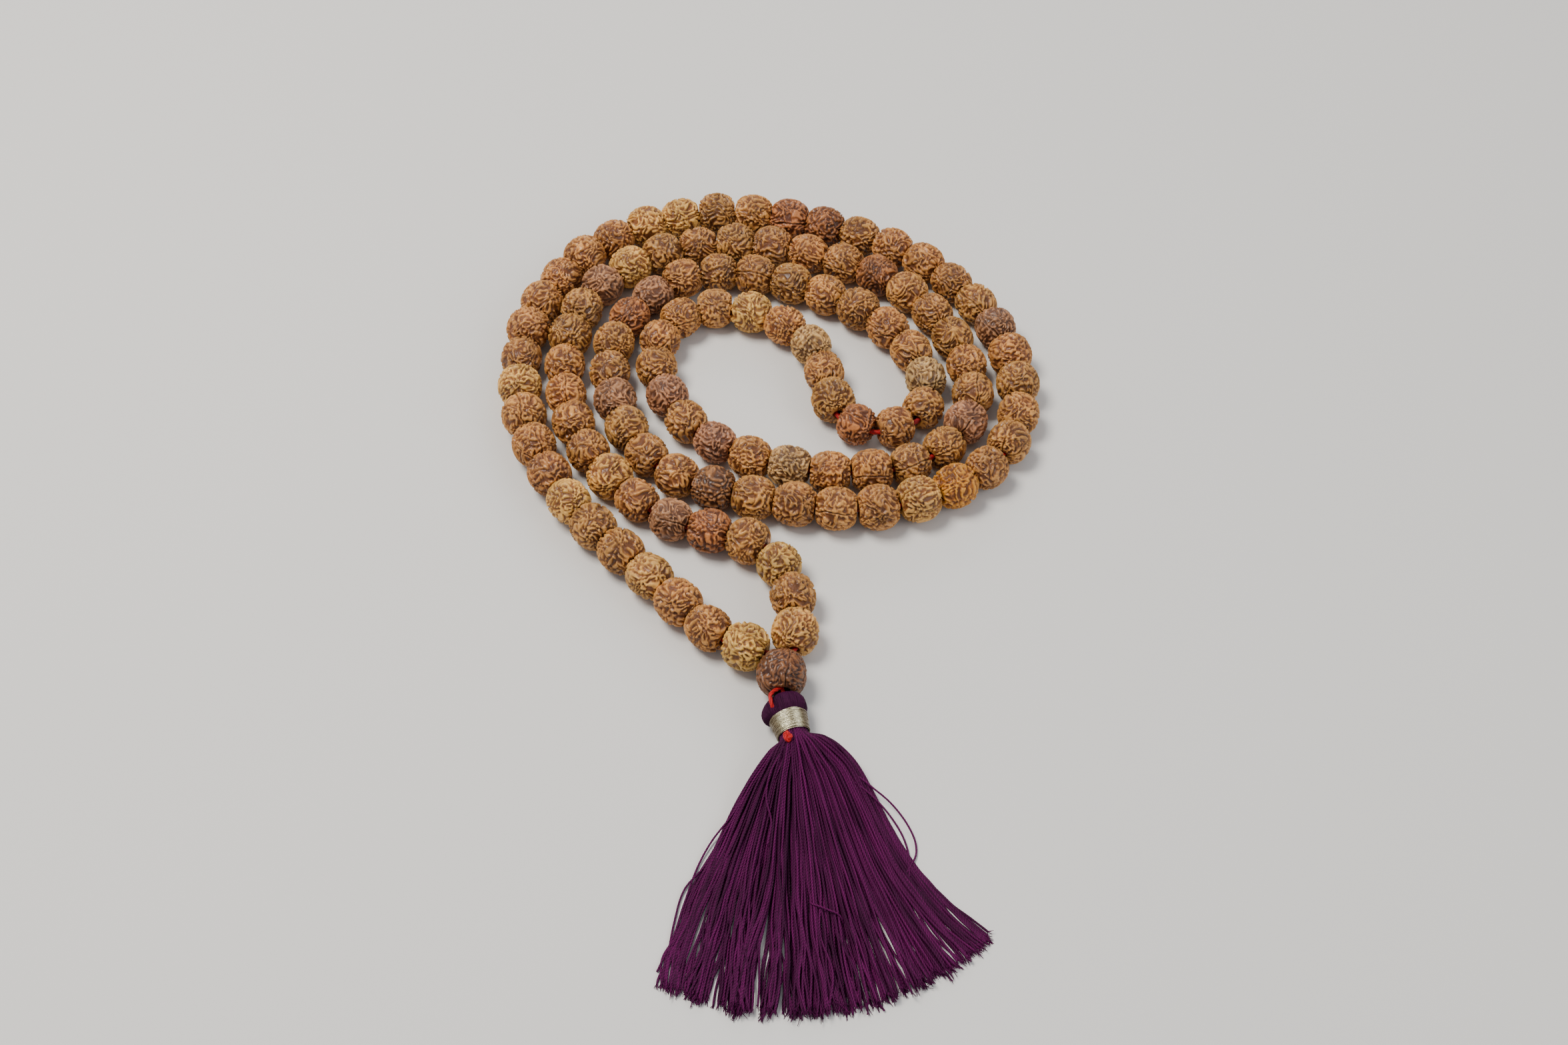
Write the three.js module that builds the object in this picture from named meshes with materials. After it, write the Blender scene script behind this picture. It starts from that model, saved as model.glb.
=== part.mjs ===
// Mala: a strand of 108 ribbed seed beads on a red cord, a larger guru bead and a bound thread tassel.
// Millimetres, +Z up. The strand lies in three turns on the plane z = 0 and the tassel points to -Y.

import * as THREE from 'three';

// ---- Beads ----
const BEAD_COUNT = 108;
const BEAD_DIAMETER = 7.7; // mean, across the cord
const BEAD_DIAMETER_SPREAD = 0.4; // largest difference from the mean
const BEAD_BORE_RADIUS = 1.2;
const BEAD_END_RADIUS = 1.9; // flat ring around each hole
const BEAD_JOIN_RADIUS = 2.2; // waist between two beads that are one piece
const BEAD_SIDES = 10; // five ribs and five furrows
const FURROW_SCALE = 0.93; // a furrow's radius against a rib's
const BELLY_SHARE = 0.4; // how much of a bead's length is its widest part

// ---- Strand ----
const FIRST_BEAD_AT = 1.5; // arc length along the route where bead 1 begins
const BEAD_PITCH = 7.42; // cord length that each bead takes
const FOLD_SLACK = 0.45; // more cord for each bead where the strand turns back on itself
const FOLD_BEADS = [58, 62]; // first and last bead of that turn
const BEAD_GAP = 0.24; // between neighbours that are separate pieces
const LIFT_BEND = THREE.MathUtils.degToRad(46); // bend that the two gaps at the leads leave room for
const LEFT_PIVOT = 7; // the left lead ends after this bead
const RIGHT_PIVOT = 105; // the right lead begins after this bead
const ROUTE_STEPS = 60; // curve samples between two route points

// The cord's route from the guru bead round the three turns and back, as [x, y].
const ROUTE = [
  [1.8, -26.0], [-4.5, -24.5], [-20.5, -9.0], [-35.5, 7.5], [-45.0, 28.5],
  [-45.0, 51.0], [-34.0, 70.5], [-14.0, 80.5], [8.5, 78.0], [28.5, 68.5],
  [43.0, 51.0], [47.0, 30.0], [42.0, 16.0], [22.5, 5.0], [0.5, 6.5],
  [-19.5, 14.5], [-29.0, 34.0], [-28.0, 48.5], [-14.5, 63.5], [7.5, 59.5],
  [24.5, 47.5], [30.5, 34.0], [29.0, 26.5], [22.0, 22.5], [14.5, 24.5],
  [12.0, 31.5], [8.0, 46.0], [-11.5, 54.5], [-21.0, 45.0], [-14.5, 24.5],
  [4.5, 14.0], [26.0, 14.5], [37.0, 24.5], [38.0, 38.5], [27.5, 58.5],
  [8.0, 69.0], [-14.0, 71.5], [-32.5, 60.0], [-38.0, 39.5], [-32.0, 17.5],
  [-16.5, 2.0], [-2.0, -2.5], [3.5, -8.0], [5.5, -22.0], [5.0, -25.5],
];

// Which beads are one piece: [first bead, last bead, beads to each piece].
const STRETCHES = [
  [1, 7, 1],
  [8, 28, 3],
  [29, 33, 1],
  [34, 57, 3],
  [58, 62, 1],
  [63, 101, 3],
  [102, 105, 4],
  [106, 108, 1],
];

// ---- Cord ----
const CORD_RADIUS = 0.5;
const CORD_SIDES = 8;
const CORD_END_GAP = 0.2; // half of the gap that splits the cord at a pivot
const LEFT_MOUTH = [2.3, -26.0, 4.1]; // where the left lead's cord reaches the guru bead
const RIGHT_MOUTH = [4.0, -26.0, 4.1];

// ---- Guru bead ----
const GURU_CENTRE = new THREE.Vector3(3.0, -30.0, 4.15);
const GURU_RADIUS = 4.15;
const GURU_HALF_LENGTH = 3.6;
const GURU_BORE_RADIUS = 1.6;
const GURU_END_RADIUS = 2.2;
const GURU_CORD_RADIUS = 0.9; // two strands of cord side by side
const GURU_CORD_Y = [-26.7, -32.6];

// ---- Tassel ----
const TASSEL_HEADING = THREE.MathUtils.degToRad(16); // turn from -Y towards +X
const NECK = [[3.15, -32.95, 3.9], [3.15, -34.0, 3.9]]; // cord between guru bead and tassel
const HEAD_TOP = new THREE.Vector3(3.0, -34.35, 3.35);
const HEAD_HALF_WIDTH = 3.7;
const HEAD_HALF_HEIGHT = 3.3;
const HEAD_LENGTH = 3.4; // dome only, above the binding
const HEAD_SIDES = 20;
const DOME_SHARES = [[0, 0], [0.6, 0.1], [0.95, 0.41], [1, 0.68]]; // of its half width and length
const DOME_STEPS = 8;
const CORE_RADIUS = 2.4; // threads inside the binding
const BINDING_INNER_RADIUS = 2.7;
const BINDING_RADII = [3.35, 3.0]; // at the head and at the skirt
const BINDING_LENGTH = 3.8;
const BINDING_EDGE = 0.25; // bevel of its two rims
const BINDING_SIDES = 24;
const BINDING_GAP = 0.3;

// The cord's end over the head's left side, and the knot below the binding.
const TIE_ROUTE = [[1.85, -34.8, 5.9], [1.3, -35.6, 6.2], [1.2, -36.6, 6.5], [1.5, -37.6, 6.4]];
const KNOT_RADIUS = 0.85;
const KNOT_PLACE = new THREE.Vector3(3.95, -43.4, 6.75);
const KNOT_SIDES = [10, 7];

// ---- Tassel skirt ----
const SKIRT_START = new THREE.Vector3(5.15, -41.85, 0);
const SKIRT_LENGTH = 43.5;
const SKIRT_FLANK_SHORTER = 0.035; // share of the length
const SKIRT_NECK_HALF_WIDTH = 2.7;
const SKIRT_TILT = THREE.MathUtils.degToRad(6.25); // the fan's middle, from -Y towards +X
const SKIRT_HALF_FAN = THREE.MathUtils.degToRad(30.25);
const SKIRT_RIGHT_FLARE = THREE.MathUtils.degToRad(50); // more spread near the binding
const SKIRT_RIGHT_FLARE_POWER = 4; // how soon it fades towards the cut ends
const SKIRT_LEFT_FLARE = THREE.MathUtils.degToRad(13);
const SKIRT_NECK_HEIGHT = 6.0;
const SKIRT_END_HEIGHT = 1.5;
const SKIRT_SETTLE_POWER = 2.2; // how soon the threads come down to the surface
const SKIRT_STEPS = [28, 12]; // round it and along it

// ---- Materials ----
const BEAD_COLOURS = [0x6f4524, 0x84592f, 0x5d3820, 0x77502f, 0x684f3a, 0x8a6a3c, 0x4f3124];
const GURU_COLOUR = 0x4a2e20;
const CORD_COLOUR = 0xa3121d;
const THREAD_COLOUR = 0x3e1340;
const BINDING_COLOUR = 0xc7b083;
const BEAD_ROUGHNESS = 0.62;
const GURU_ROUGHNESS = 0.5;
const CORD_ROUGHNESS = 0.55;
const THREAD_ROUGHNESS = 0.8;
const BINDING_ROUGHNESS = 0.35;
const BINDING_METALNESS = 0.6;

function finish(color, roughness, metalness = 0) {
  return new THREE.MeshStandardMaterial({ color, roughness, metalness });
}

function addPart(group, name, geometry, material) {
  const mesh = new THREE.Mesh(geometry, material);
  mesh.name = name;
  group.add(mesh);
  return mesh;
}

// ---- Strand layout ----

// Repeatable number from 0 to 1 for each bead.
function chance(index) {
  const value = Math.sin(index * 12.9898) * 43758.5453;
  return value - Math.floor(value);
}

function beadRadius(bead) {
  return (BEAD_DIAMETER + BEAD_DIAMETER_SPREAD * (2 * chance(bead) - 1)) / 2;
}

function beadPitch(bead) {
  const inFold = bead >= FOLD_BEADS[0] && bead <= FOLD_BEADS[1];
  return BEAD_PITCH + (inFold ? FOLD_SLACK : 0);
}

// Points of the gaps before bead 1, between beads, and after the last bead.
function layGaps() {
  const points = ROUTE.map(([x, y]) => new THREE.Vector3(x, y, 0));
  const curve = new THREE.CatmullRomCurve3(points, false, 'centripetal');
  const samples = curve.getPoints(ROUTE_STEPS * (points.length - 1));
  const gaps = [];
  let wanted = FIRST_BEAD_AT;
  let walked = 0;
  for (let i = 1; i < samples.length && gaps.length <= BEAD_COUNT; i += 1) {
    const step = samples[i].distanceTo(samples[i - 1]);
    if (walked + step >= wanted) {
      const place = samples[i - 1].clone().lerp(samples[i], (wanted - walked) / step);
      gaps.push(place);
      wanted += beadPitch(gaps.length);
    }
    walked += step;
  }
  gaps.forEach((gap, index) => {
    const before = beadRadius(Math.max(index, 1));
    const after = beadRadius(Math.min(index + 1, BEAD_COUNT));
    gap.setZ((before + after) / 2);
  });
  return gaps;
}

const gaps = layGaps();

// Bead b lies between gaps b - 1 and b.
function beadDirection(bead) {
  return gaps[bead].clone().sub(gaps[bead - 1]).setZ(0).normalize();
}

function beadCentre(bead) {
  return gaps[bead].clone().add(gaps[bead - 1]).multiplyScalar(0.5).setZ(beadRadius(bead));
}

// Distance from a bead's middle to its end at the given gap, short enough that separate neighbours
// stay clear of each other on the inside of their bend.
function halfLength(bead, gap) {
  const half = gaps[bead].distanceTo(gaps[bead - 1]) / 2;
  const hasNeighbours = gap > 0 && gap < BEAD_COUNT;
  let bend = hasNeighbours ? beadDirection(gap).angleTo(beadDirection(gap + 1)) : 0;
  if (gap === LEFT_PIVOT || gap === RIGHT_PIVOT) {
    bend = Math.max(bend, LIFT_BEND);
  }
  return half - BEAD_END_RADIUS * Math.tan(bend / 2) - BEAD_GAP / 2;
}

// ---- Bead solids ----

// Turns rings into one closed solid around a bent axis. Each ring has a radius, a centre and a level
// direction, and a ribbed ring's odd corners are pulled in. The last ring joins the first.
function ringSolid(rings, sides) {
  const profile = [...rings, rings[0]].map((ring, row) => new THREE.Vector2(ring.radius, row));
  const geometry = new THREE.LatheGeometry(profile, sides);
  const position = geometry.attributes.position;
  const down = new THREE.Vector3(0, 0, -1);
  for (let i = 0; i < position.count; i += 1) {
    const ring = rings[(i % profile.length) % rings.length];
    const corner = Math.floor(i / profile.length);
    const scale = ring.ribbed && corner % 2 === 1 ? FURROW_SCALE : 1;
    const side = new THREE.Vector3().crossVectors(ring.direction, down);
    const place = ring.centre.clone()
      .addScaledVector(side, position.getX(i) * scale)
      .addScaledVector(down, position.getZ(i) * scale);
    position.setXYZ(i, place.x, place.y, place.z);
  }
  geometry.computeVertexNormals();
  return geometry;
}

// The rings of one bead's outside, between its two ends.
function bellyRings(centre, direction, radius, startHalf, endHalf) {
  return [-startHalf, endHalf].map((half) => ({
    radius,
    centre: centre.clone().addScaledVector(direction, half * BELLY_SHARE),
    direction,
    ribbed: true,
  }));
}

// The outside and the bore of neighbouring beads as one piece, one bead or more.
function beadRun(first, last) {
  const outside = [];
  const bore = [];
  const addEnd = (centre, direction, radius) => {
    outside.push({ radius, centre, direction });
    bore.unshift({ radius: BEAD_BORE_RADIUS, centre, direction });
  };
  for (let bead = first; bead <= last; bead += 1) {
    const centre = beadCentre(bead);
    const direction = beadDirection(bead);
    const startHalf = halfLength(bead, bead - 1);
    const endHalf = halfLength(bead, bead);
    if (bead === first) {
      const start = centre.clone().addScaledVector(direction, -startHalf);
      addEnd(start, direction, BEAD_END_RADIUS);
    }
    outside.push(...bellyRings(centre, direction, beadRadius(bead), startHalf, endHalf));
    if (bead === last) {
      addEnd(centre.clone().addScaledVector(direction, endHalf), direction, BEAD_END_RADIUS);
    } else {
      const between = direction.clone().add(beadDirection(bead + 1)).normalize();
      addEnd(gaps[bead].clone(), between, BEAD_JOIN_RADIUS);
    }
  }
  return ringSolid([...outside, ...bore], BEAD_SIDES);
}

function beadMaterial(bead) {
  const pick = Math.floor(chance(bead + 0.5) * BEAD_COLOURS.length);
  return finish(BEAD_COLOURS[pick], BEAD_ROUGHNESS);
}

function beadNumber(bead) {
  return String(bead).padStart(3, '0');
}

function addBeads(group) {
  for (const [first, last, count] of STRETCHES) {
    for (let start = first; start <= last; start += count) {
      const end = start + count - 1;
      const name = count === 1
        ? `bead_${beadNumber(start)}`
        : `beads_${beadNumber(start)}_${beadNumber(end)}`;
      addPart(group, name, beadRun(start, end), beadMaterial(start));
    }
  }
}

// ---- Cord ----

// A line of straight stretches whose steps fall on its own points, the gaps between the beads.
class StraightStretches extends THREE.Curve {
  constructor(points) {
    super();
    this.points = points;
  }

  getPoint(t, target = new THREE.Vector3()) {
    const place = t * (this.points.length - 1);
    const index = Math.min(Math.floor(place), this.points.length - 2);
    return target.lerpVectors(this.points[index], this.points[index + 1], place - index);
  }

  getPointAt(u, target) {
    return this.getPoint(u, target);
  }

  getTangentAt(u, target) {
    return this.getTangent(u, target);
  }
}

function discShape(radius, sides) {
  const corners = [];
  for (let i = 0; i < sides; i += 1) {
    const angle = (2 * Math.PI * i) / sides;
    corners.push(new THREE.Vector2(radius * Math.cos(angle), radius * Math.sin(angle)));
  }
  return new THREE.Shape(corners);
}

function cordGeometry(points, radius = CORD_RADIUS) {
  return new THREE.ExtrudeGeometry(discShape(radius, CORD_SIDES), {
    steps: points.length - 1,
    extrudePath: new StraightStretches(points),
  });
}

// Moves a point towards the next one by a distance.
function towards(point, next, distance) {
  return point.clone().add(next.clone().sub(point).setLength(distance));
}

function addCords(group) {
  const red = finish(CORD_COLOUR, CORD_ROUGHNESS);
  const last = gaps.length - 1;
  const left = [
    new THREE.Vector3(...LEFT_MOUTH),
    ...gaps.slice(0, LEFT_PIVOT),
    towards(gaps[LEFT_PIVOT], gaps[LEFT_PIVOT - 1], CORD_END_GAP),
  ];
  const coil = [
    towards(gaps[LEFT_PIVOT], gaps[LEFT_PIVOT + 1], CORD_END_GAP),
    ...gaps.slice(LEFT_PIVOT + 1, RIGHT_PIVOT),
    towards(gaps[RIGHT_PIVOT], gaps[RIGHT_PIVOT - 1], CORD_END_GAP),
  ];
  const right = [
    towards(gaps[RIGHT_PIVOT], gaps[RIGHT_PIVOT + 1], CORD_END_GAP),
    ...gaps.slice(RIGHT_PIVOT + 1, last + 1),
    new THREE.Vector3(...RIGHT_MOUTH),
  ];
  addPart(group, 'cord_left_lead', cordGeometry(left), red);
  addPart(group, 'cord_coil', cordGeometry(coil), red);
  addPart(group, 'cord_right_lead', cordGeometry(right), red);
}

// ---- Guru bead ----

function addGuru(group) {
  const direction = new THREE.Vector3(0, -1, 0);
  const ends = [-GURU_HALF_LENGTH, GURU_HALF_LENGTH]
    .map((half) => GURU_CENTRE.clone().addScaledVector(direction, half));
  const belly = bellyRings(GURU_CENTRE, direction, GURU_RADIUS, GURU_HALF_LENGTH, GURU_HALF_LENGTH);
  const rings = [
    { radius: GURU_END_RADIUS, centre: ends[0], direction },
    ...belly,
    { radius: GURU_END_RADIUS, centre: ends[1], direction },
    { radius: GURU_BORE_RADIUS, centre: ends[1], direction },
    { radius: GURU_BORE_RADIUS, centre: ends[0], direction },
  ];
  addPart(group, 'guru_bead', ringSolid(rings, BEAD_SIDES), finish(GURU_COLOUR, GURU_ROUGHNESS));
  const inside = GURU_CORD_Y.map((y) => new THREE.Vector3(GURU_CENTRE.x, y, GURU_CENTRE.z));
  const red = finish(CORD_COLOUR, CORD_ROUGHNESS);
  addPart(group, 'guru_cord', cordGeometry(inside, GURU_CORD_RADIUS), red);
}

// ---- Tassel ----

// Places a shape made around the Y axis, top at the origin, so that it runs along the tassel.
function layTassel(mesh, top) {
  mesh.rotation.z = Math.PI + TASSEL_HEADING;
  mesh.position.copy(top);
}

function alongTassel(distance) {
  return new THREE.Vector3(Math.sin(TASSEL_HEADING), -Math.cos(TASSEL_HEADING), 0)
    .multiplyScalar(distance)
    .add(HEAD_TOP);
}

// Folded threads: a dome, then the core that runs through the binding.
function headGeometry() {
  const shares = DOME_SHARES.map(([wide, deep]) => (
    new THREE.Vector2(wide * HEAD_HALF_WIDTH, deep * HEAD_LENGTH)
  ));
  const dome = new THREE.SplineCurve([...shares, new THREE.Vector2(CORE_RADIUS, HEAD_LENGTH)]);
  const coreEnd = HEAD_LENGTH + BINDING_GAP + BINDING_LENGTH;
  const profile = [
    ...dome.getPoints(DOME_STEPS),
    new THREE.Vector2(CORE_RADIUS, coreEnd),
    new THREE.Vector2(0, coreEnd),
  ];
  const geometry = new THREE.LatheGeometry(profile, HEAD_SIDES);
  geometry.scale(1, 1, HEAD_HALF_HEIGHT / HEAD_HALF_WIDTH);
  return geometry;
}

// A sleeve, narrower towards the skirt.
function bindingGeometry() {
  const [head, skirt] = BINDING_RADII;
  const profile = [
    new THREE.Vector2(BINDING_INNER_RADIUS, BINDING_LENGTH),
    new THREE.Vector2(BINDING_INNER_RADIUS, 0),
    new THREE.Vector2(head - BINDING_EDGE / 2, 0),
    new THREE.Vector2(head, BINDING_EDGE),
    new THREE.Vector2(skirt, BINDING_LENGTH - BINDING_EDGE),
    new THREE.Vector2(skirt - BINDING_EDGE / 2, BINDING_LENGTH),
    new THREE.Vector2(BINDING_INNER_RADIUS, BINDING_LENGTH),
  ];
  return new THREE.LatheGeometry(profile, BINDING_SIDES);
}

// Middle line of a skirt thread: across runs from -1 at the left flank to 1 at the right flank,
// and along from 0 at the binding to 1 at the cut ends.
function skirtPlace(across, along) {
  const flare = across > 0
    ? SKIRT_RIGHT_FLARE * (1 - along) ** SKIRT_RIGHT_FLARE_POWER
    : -SKIRT_LEFT_FLARE * (1 - along);
  const angle = SKIRT_TILT + SKIRT_HALF_FAN * across + flare * across ** 2;
  const reach = SKIRT_LENGTH * along * (1 - SKIRT_FLANK_SHORTER * across ** 2);
  const neckX = SKIRT_NECK_HALF_WIDTH * across * Math.cos(TASSEL_HEADING);
  const neckY = SKIRT_NECK_HALF_WIDTH * across * Math.sin(TASSEL_HEADING);
  return new THREE.Vector2(
    SKIRT_START.x + neckX + reach * Math.sin(angle),
    SKIRT_START.y + neckY - reach * Math.cos(angle),
  );
}

function skirtHeight(along) {
  const fall = SKIRT_NECK_HEIGHT - SKIRT_END_HEIGHT;
  return SKIRT_END_HEIGHT + fall * (1 - along) ** SKIRT_SETTLE_POWER;
}

// A fan of threads, flat underneath where it lies and domed above.
function skirtGeometry() {
  const geometry = new THREE.CylinderGeometry(1, 1, 1, ...SKIRT_STEPS);
  const position = geometry.attributes.position;
  const corner = new THREE.Vector3();
  for (let i = 0; i < position.count; i += 1) {
    corner.fromBufferAttribute(position, i);
    const along = 0.5 - corner.y;
    const isCapMiddle = Math.hypot(corner.x, corner.z) < 0.5;
    const rise = isCapMiddle ? 0.5 : Math.max(0, corner.z);
    const place = skirtPlace(corner.x, along);
    position.setXYZ(i, place.x, place.y, rise * skirtHeight(along));
  }
  return geometry;
}

function addTassel(group) {
  const thread = finish(THREAD_COLOUR, THREAD_ROUGHNESS);
  const red = finish(CORD_COLOUR, CORD_ROUGHNESS);
  const neck = NECK.map((point) => new THREE.Vector3(...point));
  addPart(group, 'tie_neck', cordGeometry(neck, GURU_CORD_RADIUS), red);

  const head = addPart(group, 'tassel_head', headGeometry(), thread);
  layTassel(head, HEAD_TOP);

  const metallic = finish(BINDING_COLOUR, BINDING_ROUGHNESS, BINDING_METALNESS);
  const binding = addPart(group, 'tassel_binding', bindingGeometry(), metallic);
  layTassel(binding, alongTassel(HEAD_LENGTH + BINDING_GAP));

  const tie = TIE_ROUTE.map((point) => new THREE.Vector3(...point));
  addPart(group, 'tie_cord', cordGeometry(tie), red);

  const knotShape = new THREE.SphereGeometry(KNOT_RADIUS, ...KNOT_SIDES);
  const knot = addPart(group, 'tie_knot', knotShape, red);
  knot.position.copy(KNOT_PLACE);

  addPart(group, 'tassel_skirt', skirtGeometry(), thread);
}

// ---- The whole mala ----

const mala = new THREE.Group();
addBeads(mala);
addCords(mala);
addGuru(mala);
addTassel(mala);

export default mala;
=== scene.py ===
# Mala prayer beads: 108 ridged seed beads on a red cord, a guru bead and a thread tassel.
# Lengths are in millimetres until a mesh is made. The strand lies on the plane z = 0.

import math

import bpy
import numpy as np
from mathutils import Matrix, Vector


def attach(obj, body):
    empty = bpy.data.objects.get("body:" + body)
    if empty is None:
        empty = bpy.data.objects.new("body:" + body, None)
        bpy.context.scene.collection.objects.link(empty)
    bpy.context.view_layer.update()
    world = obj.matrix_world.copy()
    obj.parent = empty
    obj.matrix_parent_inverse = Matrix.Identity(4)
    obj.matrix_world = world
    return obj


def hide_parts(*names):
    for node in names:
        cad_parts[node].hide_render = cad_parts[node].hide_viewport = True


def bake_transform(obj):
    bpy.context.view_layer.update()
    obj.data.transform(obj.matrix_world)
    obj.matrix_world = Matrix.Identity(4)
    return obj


MM = 0.001
UP = np.array([0.0, 0.0, 1.0])

# ---- Strand, as in the CAD part ----
BEAD_COUNT = 108
BEAD_DIAMETER = 7.7
BEAD_DIAMETER_SPREAD = 0.4
FIRST_BEAD_AT = 1.5
BEAD_PITCH = 7.42
FOLD_SLACK = 0.45
FOLD_BEADS = (58, 62)
LEFT_PIVOT = 7
RIGHT_PIVOT = 105
ROUTE_STEPS = 60
ROUTE = [
    (1.8, -26.0), (-4.5, -24.5), (-20.5, -9.0), (-35.5, 7.5), (-45.0, 28.5),
    (-45.0, 51.0), (-34.0, 70.5), (-14.0, 80.5), (8.5, 78.0), (28.5, 68.5),
    (43.0, 51.0), (47.0, 30.0), (42.0, 16.0), (22.5, 5.0), (0.5, 6.5),
    (-19.5, 14.5), (-29.0, 34.0), (-28.0, 48.5), (-14.5, 63.5), (7.5, 59.5),
    (24.5, 47.5), (30.5, 34.0), (29.0, 26.5), (22.0, 22.5), (14.5, 24.5),
    (12.0, 31.5), (8.0, 46.0), (-11.5, 54.5), (-21.0, 45.0), (-14.5, 24.5),
    (4.5, 14.0), (26.0, 14.5), (37.0, 24.5), (38.0, 38.5), (27.5, 58.5),
    (8.0, 69.0), (-14.0, 71.5), (-32.5, 60.0), (-38.0, 39.5), (-32.0, 17.5),
    (-16.5, 2.0), (-2.0, -2.5), (3.5, -8.0), (5.5, -22.0), (5.0, -25.5),
]

# Which beads are one CAD node: (first bead, last bead, beads to each node).
STRETCHES = [
    (1, 7, 1), (8, 28, 3), (29, 33, 1), (34, 57, 3),
    (58, 62, 1), (63, 101, 3), (102, 105, 4), (106, 108, 1),
]

# ---- Cord ----
CORD_RADIUS = 0.5
CORD_PLY_DEPTH = 0.22  # how deep the grooves between its plies are, as a share of the radius
CORD_PLIES = 3
CORD_LAY_LENGTH = 4.2  # one turn of the twist
CORD_SIDES = 15
CORD_STEPS_PER_BEAD = 20
LEFT_MOUTH = (2.3, -26.0, 4.1)
RIGHT_MOUTH = (4.0, -26.0, 4.1)

# ---- Seed beads ----
BEAD_COLUMNS = 148
BEAD_ROWS = 84
BEAD_SQUARENESS = 2.25  # 2 is an ellipse; more is fuller towards the holes
MOUTH_RADIUS = 1.0  # rim of each hole
BORE_RADIUS = 0.75
BEAD_END_CLEARANCE = 0.02
BEAD_BASE = 0.34  # how far the valleys lie inside the bead's radius
BEAD_PROUD = 0.14  # how far the highest knobs stand outside it
BEAD_SWELL_LENGTH = 6.0  # wavelength of the slow changes over a bead: wear, swelling and seams
WARP_LENGTH = 3.6
WARP_REACH = 0.34  # how far the ridges are bent sideways
KNOB_LENGTH = 0.92
PEARL_LENGTH = 0.85
FINE_LENGTH = 0.5
MUKHI = 5  # seams from hole to hole
SEAM_DEPTH = 0.3
SEAM_HALF_WIDTH = 0.1
LIP_HEIGHT = 0.45  # of the raised lips beside a seam, as a share of the ridges
LIP_OFFSET = 0.26
LIP_HALF_WIDTH = 0.15
TONE_STOPS = (0.1, 0.42, 0.86)  # relief at which the valley, flank and ridge colours are full
BORE_CHAMFER = 0.3
# Where the cord shows: the gap after a bead, and how much wider it is than elsewhere.
OPEN_GAPS = {29: 0.5, 33: 0.45, 42: 0.4, 59: 0.5, 60: 0.45, 78: 0.6, 100: 0.4, 102: 0.45, 105: 0.5}

# ---- Guru bead ----
GURU_CENTRE = np.array([3.0, -30.0, 4.15])
GURU_RADIUS = 4.3
GURU_HALF_LENGTH = 3.6
GURU_MOUTH_RADIUS = 1.75
GURU_BORE_RADIUS = 1.45

# ---- Tassel ----
TASSEL_HEADING = math.radians(16)
HEAD_TOP = np.array([3.0, -34.35, 3.35])
HEAD_HALF_WIDTH = 3.5
HEAD_HALF_HEIGHT = 3.3
HEAD_LENGTH = 3.8
HEAD_THREADS = 170
HEAD_THREAD_RADIUS = 0.092
HEAD_CLEFT = math.radians(118)  # where the cord divides the head, round from its right
# Width of the head from its top, 0, to the binding, 1, as a share of its greatest.
HEAD_OUTLINE = [
    (0.0, 0.26), (0.02, 0.54), (0.06, 0.74), (0.14, 0.88), (0.26, 0.96),
    (0.45, 1.0), (0.72, 0.98), (0.88, 0.89), (1.0, 0.77),
]
BINDING_START = 3.7
BINDING_LENGTH = 3.4
BINDING_RADII = (2.98, 2.5)
BINDING_TURNS = 25
BINDING_THREAD_RADIUS = 0.085
BINDING_LOOSE_TURNS = 90
# Where highlight bands are painted on the metallic thread, in degrees round from the right, and how wide
# each band is; elsewhere it gets painted shade.
BINDING_HIGHLIGHT_BANDS = [(113, 21), (69, 13)]
TIE_ROUTE = [
    (3.2, -32.0, 4.2), (2.9, -32.8, 4.7), (2.25, -33.7, 5.4), (1.5, -34.6, 5.95),
    (1.15, -35.6, 6.3), (1.3, -36.6, 6.1), (1.65, -37.5, 5.2),
]
TIE_STUB = [(3.3, -31.8, 4.0), (3.1, -32.9, 4.45), (3.2, -33.8, 4.4), (3.2, -34.9, 4.2)]
TIE_RADIUS = 0.34
KNOT_PLACE = np.array([3.95, -42.85, 5.98])
KNOT_SCALE = 0.84

# ---- Tassel skirt ----
SKIRT_START = np.array([5.15, -41.85])
SKIRT_LENGTH = 43.5
SKIRT_FLANK_SHORTER = 0.035
SKIRT_NECK_HALF_WIDTH = 2.32
SKIRT_NECK_MIDDLE = 3.35
SKIRT_NECK_HALF_HEIGHT = 2.28
SKIRT_SWELL = 0.8  # how much wider the neck gets just below the binding
SKIRT_TILT = math.radians(6.25)
SKIRT_HALF_FAN = math.radians(30.25)
SKIRT_RIGHT_FLARE = math.radians(50)
SKIRT_RIGHT_FLARE_POWER = 4
SKIRT_RIGHT_SWING = math.radians(12)
SKIRT_LEFT_FLARE = math.radians(13)
SKIRT_NECK_HEIGHT = 6.0
SKIRT_END_HEIGHT = 1.5
SKIRT_SETTLE_POWER = 2.2
SKIRT_THREADS = 400
SKIRT_RINGS = 132
SKIRT_CLUMPS = 21
SKIRT_LAYERS = 4
SKIRT_PIECES = 5
THREAD_RADIUS = 0.19
THREAD_SIDES = 7
THREAD_LAY_LENGTH = 1.05  # one turn of its two plies
FRAY_FIBRES = 5
FRAY_RINGS = 5
FRAY_RADIUS = 0.085

# ---- Camera and light ----
CAMERA_PLACE = (3.36, -183.6, 243.4)
CAMERA_DOWN = math.radians(52.3)
IMAGE_WIDTH = 2352
FOCAL_PIXELS = 2600
SENSOR_WIDTH = 36.0

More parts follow.
